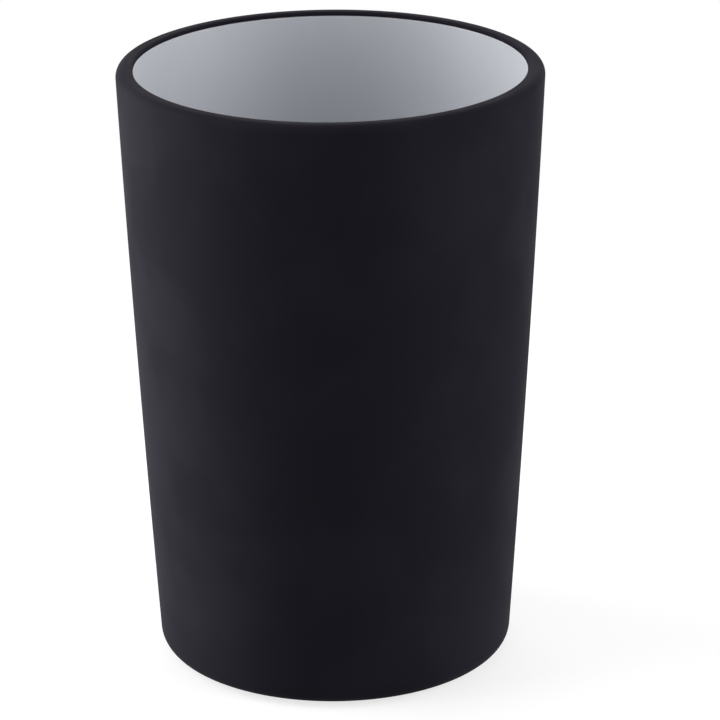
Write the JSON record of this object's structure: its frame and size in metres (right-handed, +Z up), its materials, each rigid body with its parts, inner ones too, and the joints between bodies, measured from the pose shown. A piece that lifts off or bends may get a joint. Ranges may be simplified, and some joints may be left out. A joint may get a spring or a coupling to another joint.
{
  "type": "toothbrush cup",
  "caption": "Tapered round tumbler for toothbrushes: soft black sleeve with a rolled lip over a pale rigid liner, clipped base cover, soft standing ring.",
  "frame": {"origin": "on the table, under the middle of the cup", "axes": "+Z up along the cup's axis, out of its mouth; the cup is round, so +X and +Y are any two directions square to it, with the picture's camera on the -Y side"},
  "size_m": [0.0728, 0.0728, 0.1059],
  "materials": {
    "sleeve": "soft-touch matt black, moulded in one piece with its lip",
    "liner": "satin pale grey moulded plastic",
    "cover": "fine matt black moulded plastic",
    "foot": "dull dark grey grip rubber"
  },
  "bodies": {
    "root": {"outer_shell": "sleeve", "inner_liner": "liner", "base_cover": "cover", "foot_ring": "foot"}
  },
  "joints": []
}
